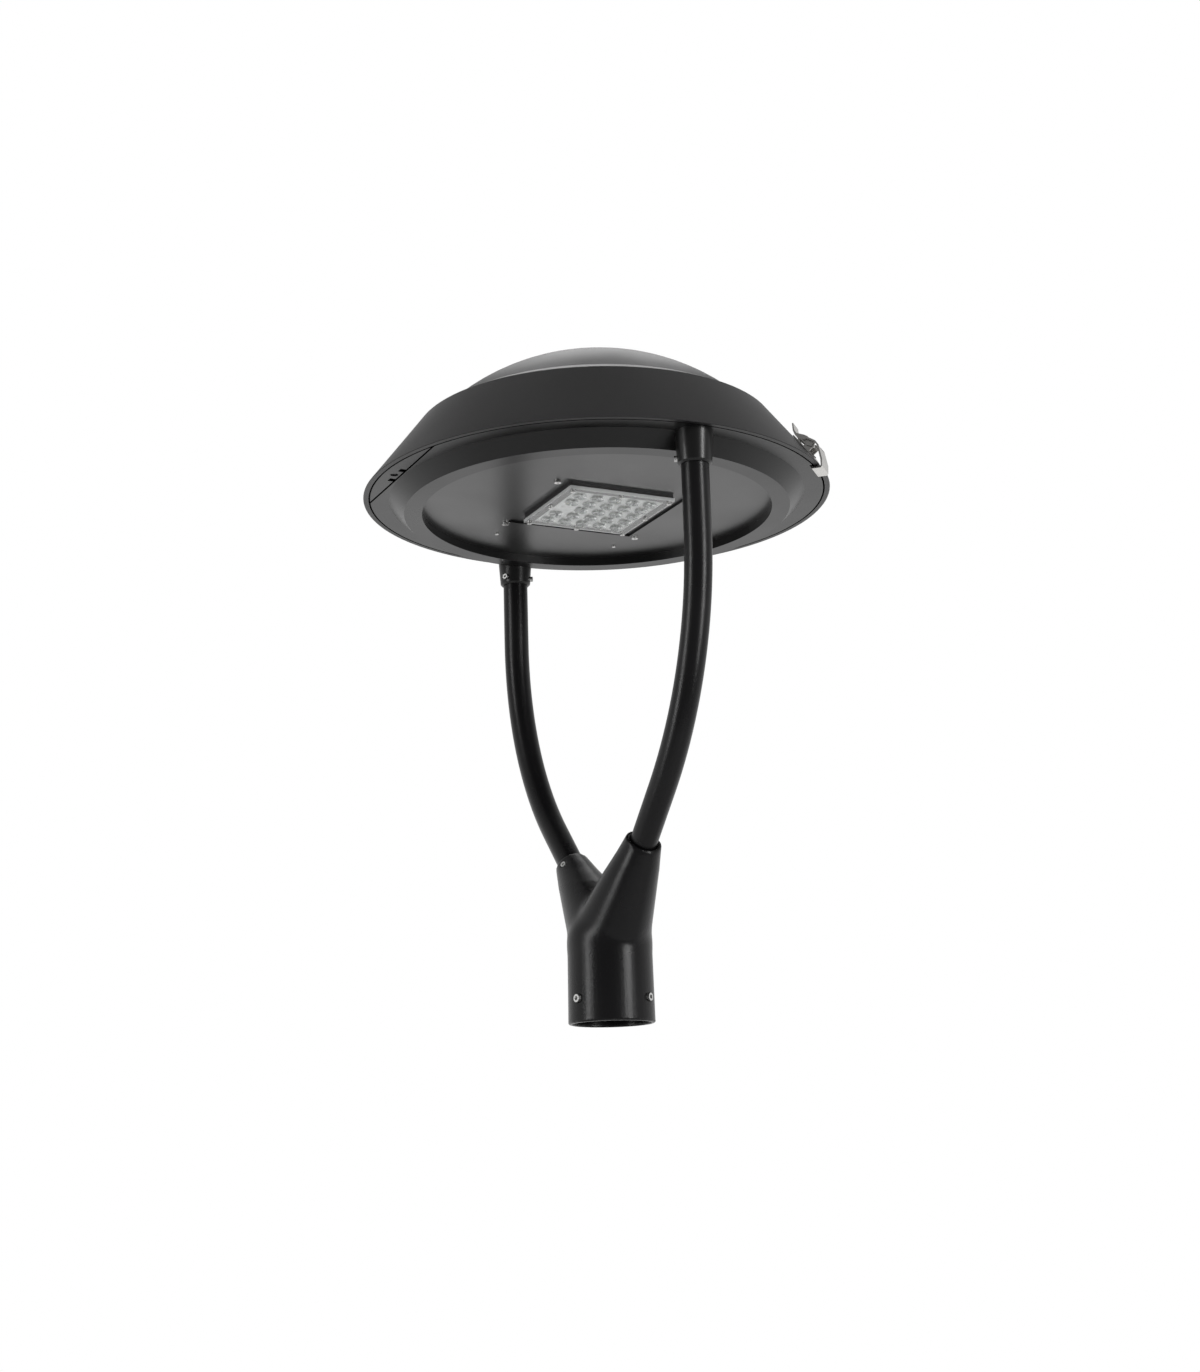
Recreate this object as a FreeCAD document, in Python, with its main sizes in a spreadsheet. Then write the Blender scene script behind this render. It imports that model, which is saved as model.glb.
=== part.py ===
import FreeCAD, Part
import Sketcher
import math
import os
from FreeCAD import Placement, Rotation, Vector

# Street light head: a domed sheet hood over a round cast tray, carried by two bent
# tubes that come together in a forked casting on top of the lamp post.
# Millimetres, +Z up. The origin is the centre of the collar's bottom face.
# -Y: near tube, +Y: far tube, -X: hinge of the hood, between +X and -Y: its latch.

os.makedirs("parts", exist_ok=True)
doc = FreeCAD.newDocument("StreetLightHead")
sheet = doc.addObject("Spreadsheet::Sheet", "Dims")


class Size:
    """A number together with the sheet expression that drives it."""

    def __init__(self, number, text=None):
        self.number = float(number)
        self.text = text if text else repr(round(float(number), 6))
        self.bound = text is not None

    def join(self, other, sign, number):
        result = Size(number, "(" + self.text + " " + sign + " " + other.text + ")")
        result.bound = self.bound or other.bound
        return result

    def __add__(self, other):
        other = size(other)
        return self.join(other, "+", self.number + other.number)

    def __radd__(self, other):
        return size(other) + self

    def __sub__(self, other):
        other = size(other)
        return self.join(other, "-", self.number - other.number)

    def __rsub__(self, other):
        return size(other) - self

    def __mul__(self, other):
        other = size(other)
        return self.join(other, "*", self.number * other.number)

    def __rmul__(self, other):
        return size(other) * self

    def __truediv__(self, other):
        other = size(other)
        return self.join(other, "/", self.number / other.number)

    def __neg__(self):
        return size(0) - self


def size(value):
    return value if isinstance(value, Size) else Size(value)


def call(name, number, text):
    return Size(number, name + "(" + text + ")")


def root(value):
    return call("sqrt", math.sqrt(value.number), value.text)


def sine(angle):
    return call("sin", math.sin(math.radians(angle.number)), angle.text + " * 1deg")


def cosine(angle):
    return call("cos", math.cos(math.radians(angle.number)), angle.text + " * 1deg")


rows = {"used": 0}


def dim(alias, number):
    """Write one driving size into the sheet and give it back as a Size."""
    rows["used"] += 1
    row = str(rows["used"])
    sheet.set("A" + row, alias.replace("_", " "))
    sheet.set("B" + row, repr(number))
    sheet.setAlias("B" + row, alias)
    return Size(number, "Dims." + alias)


# Levels and the post collar
rim_level = dim("rim_level", 558.6)
collar_rad = dim("collar_rad", 44.3)
waist_rad = dim("waist_rad", 43.4)
waist_level = dim("waist_level", 80.0)
post_bore = dim("post_bore", 40.0)
post_depth = dim("post_depth", 78.0)
collar_chamfer = dim("collar_chamfer", 1.2)
post_rad = dim("post_rad", 38.1)
# Bent tubes
tube_rad = dim("tube_rad", 13.9)
tube_wall = dim("tube_wall", 2.0)
tube_gap = dim("tube_gap", 0.15)
arm_reach = dim("arm_reach", 222.4)
arm_drop = dim("arm_drop", 103.0)
arm_top_depth = dim("arm_top_depth", 10.0)
bend_rad = dim("bend_rad", 343.0)
bend_angle = dim("bend_angle", 43.5)
mouth_run = dim("mouth_run", 63.0)
tube_run = dim("tube_run", 115.0)
mouth_rad = dim("mouth_rad", 18.5)
branch_root = dim("branch_root", 38.2)
branch_run = dim("branch_run", 110.0)
mouth_chamfer = dim("mouth_chamfer", 1.6)
passage_rad = dim("passage_rad", 10.5)
# Hood
hood_rad = dim("hood_rad", 250.0)
hood_wall = dim("hood_wall", 2.5)
lip_in = dim("lip_in", 244.5)
lip_high = dim("lip_high", 4.0)
lip_round = dim("lip_round", 0.7)
shoulder_rad = dim("shoulder_rad", 192.0)
shoulder_high = dim("shoulder_high", 76.3)
dome_edge = dim("dome_edge", 171.0)
dome_rad = dim("dome_rad", 246.2)
dome_sink = dim("dome_sink", 90.0)
# Cast tray ring
ring_rad = dim("ring_rad", 242.7)
ring_flat = dim("ring_flat", 222.7)
plateau_out = dim("plateau_out", 206.8)
plateau_in = dim("plateau_in", 187.7)
plateau_drop = dim("plateau_drop", 15.3)
ring_wall = dim("ring_wall", 2.5)
seat_drop = dim("seat_drop", 6.1)
ring_chamfer = dim("ring_chamfer", 1.5)
chord_at = dim("chord_at", 223.4)
socket_drop = dim("socket_drop", 34.0)
socket_low = dim("socket_low", 17.0)
socket_high = dim("socket_high", 19.6)
pad_rad = dim("pad_rad", 15.0)
pad_top = dim("pad_top", 8.0)
cable_rad = dim("cable_rad", 9.0)
boss_rad = dim("boss_rad", 5.0)
boss_circle = dim("boss_circle", 198.0)
# Hinge
hinge_at = dim("hinge_at", 228.1)
hinge_high = dim("hinge_high", 6.0)
hinge_pin_rad = dim("hinge_pin_rad", 1.8)
knuckle_rad = dim("knuckle_rad", 3.2)
knuckle_half = dim("knuckle_half", 11.5)
lug_offset = dim("lug_offset", 15.5)
lug_wide = dim("lug_wide", 6.0)
running_fit = dim("running_fit", 0.05)
segment_thick = dim("segment_thick", 1.3)
segment_edge = dim("segment_edge", 225.6)
# Base plate and what it carries
sheet_rad = dim("sheet_rad", 201.8)
sheet_thick = dim("sheet_thick", 2.0)
open_left = dim("open_left", 69.0)
open_right = dim("open_right", 80.0)
open_near = dim("open_near", 70.0)
open_far = dim("open_far", 84.0)
seal_thick = dim("seal_thick", 0.5)
sink_left = dim("sink_left", 79.0)
sink_right = dim("sink_right", 96.0)
sink_near = dim("sink_near", 76.0)
sink_far = dim("sink_far", 95.0)
sink_thick = dim("sink_thick", 5.0)
fin_high = dim("fin_high", 30.0)
fin_thick = dim("fin_thick", 2.2)
fin_pitch = dim("fin_pitch", 9.6)
lens_side = dim("lens_side", 122.0)
lens_x = dim("lens_x", 4.0)
lens_y = dim("lens_y", 5.0)
lens_drop = dim("lens_drop", 11.4)
lens_thick = dim("lens_thick", 4.0)
lens_pitch = dim("lens_pitch", 20.6)
lens_seal = dim("lens_seal", 1.3)
board_side = dim("board_side", 103.0)
board_thick = dim("board_thick", 1.6)
# Screws
screw_gap = dim("screw_gap", 0.1)
small_screw = dim("small_screw", 2.0)
small_head = dim("small_head", 3.6)
head_high = dim("head_high", 2.2)
set_screw = dim("set_screw", 4.0)
grub_screw = dim("grub_screw", 3.0)
# Latch, in the plane of the skirt: along the skirt, and out from it
latch_half = dim("latch_half", 14.0)
latch_plate = dim("latch_plate", 1.2)
lever_pivot_up = dim("lever_pivot_up", 26.0)
lever_pivot_out = dim("lever_pivot_out", 8.0)
hook_pivot_up = dim("hook_pivot_up", 35.0)
hook_pivot_out = dim("hook_pivot_out", 7.0)

X, Y, Z = Vector(1, 0, 0), Vector(0, 1, 0), Vector(0, 0, 1)


def bind(thing, **sizes):
    """Set properties, with an expression wherever a sheet size drives them."""
    for name, value in sizes.items():
        value = size(value)
        setattr(thing, name, value.number)
        if value.bound:
            thing.setExpression(name, value.text)


def facing(axis):
    return Rotation(Z, Vector(axis))


def put(thing, point, rotation=None):
    """Place a thing; each coordinate follows the sheet where it can."""
    numbers = [size(value) for value in point]
    base = Vector(*[value.number for value in numbers])
    thing.Placement = Placement(base, rotation if rotation else Rotation())
    for letter, value in zip("xyz", numbers):
        if value.bound:
            thing.setExpression("Placement.Base." + letter, value.text)
    return thing


def cylinder(name, radius, height, point, axis=Z):
    item = doc.addObject("Part::Cylinder", name)
    bind(item, Radius=radius, Height=height)
    return put(item, point, facing(axis))


def cone(name, low, high, height, point, axis=Z):
    item = doc.addObject("Part::Cone", name)
    bind(item, Radius1=low, Radius2=high, Height=height)
    return put(item, point, facing(axis))


def box(name, length, width, height, point, rotation=None):
    item = doc.addObject("Part::Box", name)
    bind(item, Length=length, Width=width, Height=height)
    return put(item, point, rotation)


def hexagon(name, across, height, point, axis=Z):
    """Six-sided prism; across is its radius to the corners."""
    item = doc.addObject("Part::Prism", name)
    item.Polygon = 6
    bind(item, Circumradius=across, Height=height)
    return put(item, point, facing(axis))


def fuse(name, items):
    item = doc.addObject("Part::MultiFuse", name)
    item.Shapes = items
    return item


def cut(name, base, tools):
    tool = tools[0] if len(tools) == 1 else fuse(name + "_tools", tools)
    item = doc.addObject("Part::Cut", name)
    item.Base = base
    item.Tool = tool
    return item


def common(name, base, tool):
    item = doc.addObject("Part::Common", name)
    item.Base = base
    item.Tool = tool
    return item


def group(name, items):
    """Several separate solids that are one kind of piece."""
    item = doc.addObject("Part::Compound", name)
    item.Links = items
    return item


def body(name):
    return doc.addObject("PartDesign::Body", name)


def plane(owner, role):
    for feature in owner.Origin.OriginFeatures:
        if feature.Role == role:
            return feature


def sketch(owner, name, role):
    item = owner.newObject("Sketcher::SketchObject", name)
    item.AttachmentSupport = [(plane(owner, role), "")]
    item.MapMode = "FlatFace"
    return item


def fix(item, kind, *rest):
    value = size(rest[-1])
    index = item.addConstraint(Sketcher.Constraint(kind, *rest[:-1], value.number))
    if value.bound:
        item.setExpression("Constraints[" + str(index) + "]", value.text)


def outline(item, corners, arcs=None):
    """Closed outline through corners; arcs maps a corner to the centre of the arc after it."""
    arcs = arcs or {}
    points = [tuple(size(value) for value in corner) for corner in corners]
    first = item.GeometryCount
    ends = []
    for index, start in enumerate(points):
        end = points[(index + 1) % len(points)]
        a = Vector(start[0].number, start[1].number, 0)
        b = Vector(end[0].number, end[1].number, 0)
        if index in arcs:
            across, up, turn = arcs[index]
            middle = Vector(size(across).number, size(up).number, 0)
            circle = Part.Circle(middle, Z, (a - middle).Length)
            low = math.atan2(a.y - middle.y, a.x - middle.x)
            high = math.atan2(b.y - middle.y, b.x - middle.x)
            if turn < 0:
                low, high = high, low
            if high < low:
                high += 2 * math.pi
            item.addGeometry(Part.ArcOfCircle(circle, low, high), False)
            ends.append((1, 2) if turn > 0 else (2, 1))
        else:
            item.addGeometry(Part.LineSegment(a, b), False)
            ends.append((1, 2))
    count = len(points)
    for index in range(count):
        after = (index + 1) % count
        joint = Sketcher.Constraint("Coincident", first + index, ends[index][1],
                                    first + after, ends[after][0])
        item.addConstraint(joint)
    for index, (across, up) in enumerate(points):
        fix(item, "DistanceX", -1, 1, first + index, ends[index][0], across)
        fix(item, "DistanceY", -1, 1, first + index, ends[index][0], up)
    for index, (across, up, turn) in arcs.items():
        fix(item, "DistanceX", -1, 1, first + index, 3, across)


def ring(item, radius, across=0, up=0):
    across, up, radius = size(across), size(up), size(radius)
    middle = Vector(across.number, up.number, 0)
    index = item.addGeometry(Part.Circle(middle, Z, radius.number), False)
    fix(item, "DistanceX", -1, 1, index, 3, across)
    fix(item, "DistanceY", -1, 1, index, 3, up)
    fix(item, "Radius", index, radius)


def rectangle(item, left, right, low, high):
    outline(item, [(left, low), (right, low), (right, high), (left, high)])


def pad(owner, name, profile, length, both=False, back=False):
    item = owner.newObject("PartDesign::Pad", name)
    item.Profile = profile
    bind(item, Length=length)
    if both:
        item.Midplane = True
    item.Reversed = back
    return item


def pocket(owner, name, profile, length=None, back=False, both=False):
    item = owner.newObject("PartDesign::Pocket", name)
    item.Profile = profile
    if length is None:
        item.Type = "ThroughAll"
        item.Midplane = True
    else:
        bind(item, Length=length)
        item.Reversed = back
        if both:
            item.Midplane = True
    return item


def turned(name, corners, arcs=None, level=0):
    """A body turned about the vertical axis from an outline in the XZ plane."""
    owner = body(name)
    profile = sketch(owner, name + "_profile", "XZ_Plane")
    outline(profile, corners, arcs)
    item = owner.newObject("PartDesign::Revolution", name + "_turn")
    item.Profile = profile
    item.ReferenceAxis = (profile, ["V_Axis"])
    item.Angle = 360
    put(owner, (0, 0, level))
    return owner


def soften(owner, name, radius, keep, kind="Fillet"):
    """Round or chamfer the edges of a body's tip that the test keeps (own coordinates)."""
    doc.recompute()
    tip = owner.Tip
    names = []
    for index, edge in enumerate(tip.Shape.Edges):
        if keep(edge):
            names.append("Edge" + str(index + 1))
    item = owner.newObject("PartDesign::" + kind, name)
    item.Base = (tip, names)
    if kind == "Fillet":
        bind(item, Radius=radius)
    else:
        bind(item, Size=radius)
    return item


def at_circle(radius, level, slack=0.05):
    def keep(edge):
        middle = edge.BoundBox
        wide = middle.XMax - middle.XMin
        return (abs(wide / 2 - radius) < slack and abs(middle.ZMin - level) < slack
                and abs(middle.ZMax - level) < slack)
    return keep


def way(angle):
    """Horizontal direction at an angle counted from +X toward +Y."""
    return Vector(math.cos(math.radians(angle)), math.sin(math.radians(angle)), 0)


# Hood: lip, straight skirt, crisp shoulder, short flat and a shallow dome
inner_dome = dome_rad - hood_wall
inner_edge = dome_edge - hood_wall * 0.36
dome_meet = root(dome_rad * dome_rad - dome_edge * dome_edge) - dome_sink
inner_meet = root(inner_dome * inner_dome - inner_edge * inner_edge) - dome_sink
hood_turned = turned("hood_turned", [
    (lip_in, 0),
    (hood_rad - lip_round, 0),
    (hood_rad, lip_round),
    (shoulder_rad, shoulder_high),
    (dome_edge, dome_meet),
    (0, dome_rad - dome_sink),
    (0, inner_dome - dome_sink),
    (inner_edge, inner_meet),
    (shoulder_rad - hood_wall * 0.66, shoulder_high - hood_wall * 0.784),
    (lip_in, lip_high),
], {4: (0, -dome_sink, 1), 6: (0, -dome_sink, -1)}, rim_level)
soften(hood_turned, "shoulder_round", 2.4, at_circle(shoulder_rad.number, shoulder_high.number))

# Skirt frame at the latch: u runs up the skirt, n stands out from it, w lies along the rim
skirt_run = math.hypot(hood_rad.number - shoulder_rad.number, shoulder_high.number - lip_round.number)
skirt_in = (hood_rad.number - shoulder_rad.number) / skirt_run
skirt_up = (shoulder_high.number - lip_round.number) / skirt_run
latch_way = way(-45)
latch_u = latch_way * -skirt_in + Z * skirt_up
latch_n = latch_way * skirt_up + Z * skirt_in
latch_w = latch_u.cross(latch_n)
latch_turn = Rotation(latch_u, latch_n, latch_w, "XYZ")
latch_origin = (latch_way.x * hood_rad, latch_way.y * hood_rad, rim_level + lip_round)


def in_latch(up, out, along):
    """Point given along the skirt, out from it and along the rim, as sheet-driven coordinates."""
    up, out, along = size(up), size(out), size(along)
    parts = []
    for index in range(3):
        value = latch_origin[index] + latch_u[index] * up + latch_n[index] * out
        parts.append(value + latch_w[index] * along)
    return tuple(parts)


rivet_rad = dim("rivet_rad", 1.6)
rivet_places = [(41.0, 0.0), (17.0, 0.0)]
rivet_holes = []
rivets = []
for number, (up, along) in enumerate(rivet_places):
    rivet_holes.append(cylinder("rivet_hole_%d" % number, rivet_rad + screw_gap, 9,
                                in_latch(up, -6, along), latch_n))
    shank = cylinder("rivet_shank_%d" % number, rivet_rad, hood_wall + latch_plate + 1.0,
                     in_latch(up, -hood_wall - 0.6, along), latch_n)
    head = cylinder("rivet_head_%d" % number, rivet_rad * 1.9, 0.9,
                    in_latch(up, latch_plate + 0.12, along), latch_n)
    tail = cylinder("rivet_tail_%d" % number, rivet_rad * 1.7, 1.0,
                    in_latch(up, -hood_wall - 1.1, along), latch_n)
    rivets.append(fuse("latch_rivet_%d" % number, [shank, head, tail]))
latch_rivets = group("latch_rivets", rivets)

# Two studs welded inside the skirt take the nuts of the hinge segment
stud_rad = dim("stud_rad", 2.0)
hinge_in = Vector(skirt_up, 0, -skirt_in)
studs = []
nuts = []
stud_holes = []
stud_level = dim("stud_level", 20.0)
web_top = dim("web_top", 31.0)
web_low = dim("web_low", 8.0)
web_deep = dim("web_deep", 5.25)


def skirt_at(level):
    """Outer radius of the skirt at a level above the rim."""
    return hood_rad - (level - lip_round) * (skirt_in / skirt_up)


stud_x = -skirt_at(stud_level)
for number, side in enumerate((-6.5, 6.5)):
    inner = hood_wall - 0.4
    start = (stud_x + inner * skirt_up, side, rim_level + stud_level - inner * skirt_in)
    studs.append(cylinder("weld_stud_%d" % number, stud_rad, 8.4, start, hinge_in))
    deep = web_deep.number + 0.02
    seat = (stud_x + deep * skirt_up, side, rim_level + stud_level - deep * skirt_in)
    nut = hexagon("nut_body_%d" % number, 4.0, 3.0, seat, hinge_in)
    bore = cylinder("nut_bore_%d" % number, stud_rad + screw_gap, 9, start, hinge_in)
    nuts.append(cut("segment_nut_%d" % number, nut, [bore]))
    stud_holes.append(cylinder("stud_hole_%d" % number, stud_rad + 0.3, 14, start, hinge_in))
segment_nuts = group("segment_nuts", nuts)
lip_gap = box("lip_gap", 8.6, 30, lip_round + 5.2,
              (latch_way.x * (lip_in.number - 1.3) + 15 * latch_way.y,
               latch_way.y * (lip_in.number - 1.3) - 15 * latch_way.x, rim_level - 0.6), Rotation(Z, -45))
hood_shell = cut("hood_shell", fuse("hood_with_studs", [hood_turned] + studs), rivet_holes + [lip_gap])

# Cast tray ring, turned profile first
slope = (ring_flat - plateau_out) / plateau_drop
ring_turned = turned("ring_turned", [
    (ring_rad, 0),
    (ring_rad, ring_wall - ring_chamfer),
    (ring_rad - ring_chamfer, ring_wall),
    (ring_flat - 0.95, ring_wall),
    (plateau_out - 1.0, ring_wall - plateau_drop),
    (plateau_in + ring_wall, ring_wall - plateau_drop),
    (plateau_in + ring_wall, -seat_drop),
    (plateau_in, -seat_drop),
    (plateau_in, -plateau_drop),
    (plateau_out, -plateau_drop),
    (ring_flat, 0),
], None, rim_level)
ring_adds = []
ring_cuts = []
sides = (("near", -1), ("far", 1))
for word, sign in sides:
    at = arm_reach * sign
    socket = cone("socket_%s" % word, socket_low, socket_high, socket_drop + 0.8,
                  (0, at, rim_level - socket_drop))
    edge = cone("socket_edge_%s" % word, socket_low - 1.8, socket_low + 34.0, 36.0,
                (0, at, rim_level - socket_drop - 0.01))
    ring_adds.append(common("socket_cast_%s" % word, socket, edge))
    ring_adds.append(cylinder("pad_%s" % word, pad_rad, pad_top, (0, at, rim_level)))
    ring_cuts.append(cylinder("tube_bore_%s" % word, tube_rad + tube_gap, socket_drop - arm_top_depth + 1,
                              (0, at, rim_level - socket_drop - 1)))
    ring_cuts.append(cylinder("cable_bore_%s" % word, cable_rad, 40, (0, at, rim_level - 25)))
boss_angles = [22.5 + 45 * step for step in range(8)]
for number, angle in enumerate(boss_angles):
    there = way(angle)
    place = (boss_circle * there.x, boss_circle * there.y)
    ring_adds.append(cylinder("boss_%d" % number, boss_rad, plateau_drop - seat_drop,
                              (place[0], place[1], rim_level - plateau_drop)))
    ring_cuts.append(cylinder("boss_bore_%d" % number, small_screw + screw_gap, 8.2,
                              (place[0], place[1], rim_level - seat_drop - 8.2)))
for word, sign in (("low", -1), ("high", 1)):
    middle = lug_offset * sign
    owner = body("lug_%s" % word)
    profile = sketch(owner, "lug_profile_%s" % word, "XZ_Plane")
    outline(profile, [
        (-hinge_at, hinge_high - knuckle_rad),
        (-(chord_at - 4.2), ring_wall - 0.8),
        (-(chord_at - 12.0), ring_wall - 0.8),
        (-(chord_at - 12.0), ring_wall + 0.6),
        (-(hinge_at - 3.0), hinge_high + knuckle_rad),
        (-hinge_at, hinge_high + knuckle_rad),
    ])
    pad(owner, "lug_pad_%s" % word, profile, lug_wide, both=True)
    put(owner, (0, middle, rim_level))
    ring_adds.append(owner)
    ring_adds.append(cylinder("lug_eye_%s" % word, knuckle_rad, lug_wide,
                              (-hinge_at, middle + lug_wide / 2, rim_level + hinge_high), -Y))
chord_cut = box("chord_cut", 30, 240, 4, (-(chord_at + 30), -120, rim_level - 0.5))
chamfer_profile = body("chord_bevel")
bevel = sketch(chamfer_profile, "bevel_profile", "XZ_Plane")
outline(bevel, [
    (-(chord_at + 2), ring_wall - ring_chamfer - 2),
    (-(chord_at - ring_chamfer), ring_wall),
    (-(chord_at - ring_chamfer), ring_wall + 0.2),
    (-(chord_at + 2), ring_wall + 0.2),
])
pad(chamfer_profile, "bevel_pad", bevel, 240, both=True)
put(chamfer_profile, (0, 0, rim_level))
slot_turn = Rotation(Z, -45)
ring_cuts.append(box("latch_notch", 8, 33, 6,
                     (latch_way.x * 239.2 + 16.5 * latch_way.y, latch_way.y * 239.2 - 16.5 * latch_way.x,
                      rim_level - 1.0), slot_turn))
set_places = []
for word, sign in sides:
    for turn in (-60, 60):
        inward = Rotation(Z, turn).multVec(Vector(0, -sign, 0))
        set_places.append((word, sign, turn, inward))
        ring_cuts.append(cylinder("set_bore_%s_%d" % (word, turn + 60), grub_screw + screw_gap, 30,
                                  (0, arm_reach * sign, rim_level - 26.5), inward))
ring_base = cut("ring_chorded", ring_turned, [chord_cut, chamfer_profile])
ring_cuts.append(cylinder("eye_bore", hinge_pin_rad + 0.02, 60,
                          (-hinge_at, 30, rim_level + hinge_high), -Y))
tray_ring = cut("tray_ring", fuse("ring_cast", [ring_base] + ring_adds), ring_cuts)

hinge_rod = cylinder("hinge_rod", hinge_pin_rad, 2 * lug_offset + lug_wide + 1.6,
                     (-hinge_at, lug_offset + lug_wide / 2 + 0.8, rim_level + hinge_high), -Y)
rod_heads = []
for word, sign in (("low", -1), ("high", 1)):
    start = lug_offset + lug_wide / 2 + 0.1
    rod_heads.append(cylinder("rod_head_%s" % word, 2.6, 1.0,
                              (-hinge_at, start * sign, rim_level + hinge_high), Y * sign))
hinge_pin = fuse("hinge_pin", [hinge_rod] + rod_heads)

# Hinge segment: closes the chord of the tray and carries the knuckle inside the hood
segment_body = body("segment_plate")
profile = sketch(segment_body, "segment_outline", "XY_Plane")
segment_half = root(ring_rad * ring_rad - segment_edge * segment_edge)
notch_half = 4.2
notch_deep = segment_edge + 6.0
points = [(-segment_edge, -segment_half), (-segment_edge, -(lug_offset + notch_half)),
          (-notch_deep, -(lug_offset + notch_half)), (-notch_deep, -(lug_offset - notch_half)),
          (-segment_edge, -(lug_offset - notch_half)), (-segment_edge, lug_offset - notch_half),
          (-notch_deep, lug_offset - notch_half), (-notch_deep, lug_offset + notch_half),
          (-segment_edge, lug_offset + notch_half), (-segment_edge, segment_half)]
outline(profile, points, {9: (0, 0, 1)})
pad(segment_body, "segment_pad", profile, segment_thick)
hole = sketch(segment_body, "segment_hole", "XY_Plane")
ring(hole, 4.2, -231.3, 0)
pocket(segment_body, "segment_drill", hole)
put(segment_body, (0, 0, rim_level))
leaf_body = body("segment_web")
profile = sketch(leaf_body, "web_profile", "XZ_Plane")
outline(profile, [
    (-(hinge_at + 1.6), segment_thick - 0.1),
    (-243.6, segment_thick - 0.1),
    (-243.6, lip_high + 0.5),
    (-250, lip_high + 0.5),
    (-236, web_top),
    (-(skirt_at(web_top) - web_deep / skirt_up), web_top),
    (-(skirt_at(web_low) - web_deep / skirt_up), web_low),
    (-233.6, 4.2),
    (-(hinge_at + 1.2), 4.2),
])
pad(leaf_body, "web_pad", profile, 2 * knuckle_half, both=True)
put(leaf_body, (0, 0, rim_level))
room = cone("skirt_room", lip_in + 3.45 - 0.05, shoulder_rad - 1.975 - 0.05,
            shoulder_high - 1.526 + 0.53, (0, 0, rim_level - 0.53))
web_seated = common("web_seated", leaf_body, room)
knuckle = cylinder("knuckle", knuckle_rad, 2 * knuckle_half,
                   (-hinge_at, knuckle_half, rim_level + hinge_high), -Y)
knuckle_bore = cylinder("knuckle_bore", hinge_pin_rad + running_fit, 2 * knuckle_half + 2,
                        (-hinge_at, knuckle_half + 1, rim_level + hinge_high), -Y)
hinge_segment = cut("hinge_segment", fuse("segment_solid", [segment_body, web_seated, knuckle]),
                    [knuckle_bore] + stud_holes)

# Bent tubes: straight drop, bend, straight run into the forked casting
arm_x = arm_reach
bend_start = rim_level - arm_drop
bend_end_r = arm_reach - bend_rad * (1 - cosine(bend_angle))
bend_end_z = bend_start - bend_rad * sine(bend_angle)
run_r = sine(bend_angle)
run_z = cosine(bend_angle)


def along_branch(run):
    """Distance from the lamp axis and level of a point on the straight run."""
    return bend_end_r - run_r * run, bend_end_z - run_z * run


tubes = []
for word, sign in sides:
    owner = body("arm_tube_%s" % word)
    path = sketch(owner, "arm_path_%s" % word, "YZ_Plane")
    top = rim_level - arm_top_depth
    end_r, end_z = along_branch(tube_run)
    middle = Vector((arm_reach.number - bend_rad.number) * sign, bend_start.number, 0)
    a = Vector(arm_reach.number * sign, top.number, 0)
    b = Vector(arm_reach.number * sign, bend_start.number, 0)
    c = Vector(bend_end_r.number * sign, bend_end_z.number, 0)
    e = Vector(end_r.number * sign, end_z.number, 0)
    path.addGeometry(Part.LineSegment(a, b), False)
    circle = Part.Circle(middle, Z, bend_rad.number)
    turn = math.radians(bend_angle.number)
    if sign > 0:
        path.addGeometry(Part.ArcOfCircle(circle, -turn, 0), False)
        start, stop = 2, 1
    else:
        path.addGeometry(Part.ArcOfCircle(circle, math.pi, math.pi + turn), False)
        start, stop = 1, 2
    path.addGeometry(Part.LineSegment(c, e), False)
    path.addConstraint(Sketcher.Constraint("Coincident", 0, 2, 1, start))
    path.addConstraint(Sketcher.Constraint("Coincident", 1, stop, 2, 1))
    fix(path, "DistanceX", -1, 1, 0, 1, arm_reach * sign)
    fix(path, "DistanceY", -1, 1, 0, 1, top)
    fix(path, "DistanceX", -1, 1, 0, 2, arm_reach * sign)
    fix(path, "DistanceY", -1, 1, 0, 2, bend_start)
    fix(path, "DistanceX", -1, 1, 1, 3, (arm_reach - bend_rad) * sign)
    fix(path, "DistanceX", -1, 1, 2, 1, bend_end_r * sign)
    fix(path, "DistanceY", -1, 1, 2, 1, bend_end_z)
    fix(path, "DistanceX", -1, 1, 2, 2, end_r * sign)
    fix(path, "DistanceY", -1, 1, 2, 2, end_z)
    section = sketch(owner, "arm_section_%s" % word, "XY_Plane")
    ring(section, tube_rad, 0, arm_reach * sign)
    ring(section, tube_rad - tube_wall, 0, arm_reach * sign)
    section.AttachmentOffset = Placement(Vector(0, 0, top.number), Rotation())
    section.setExpression("AttachmentOffset.Base.z", top.text)
    pipe = owner.newObject("PartDesign::AdditivePipe", "arm_pipe_%s" % word)
    pipe.Profile = section
    pipe.Spine = (path, ["Edge1", "Edge2", "Edge3"])
    pipe.Transition = "Transformed"
    tubes.append(owner)

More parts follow.
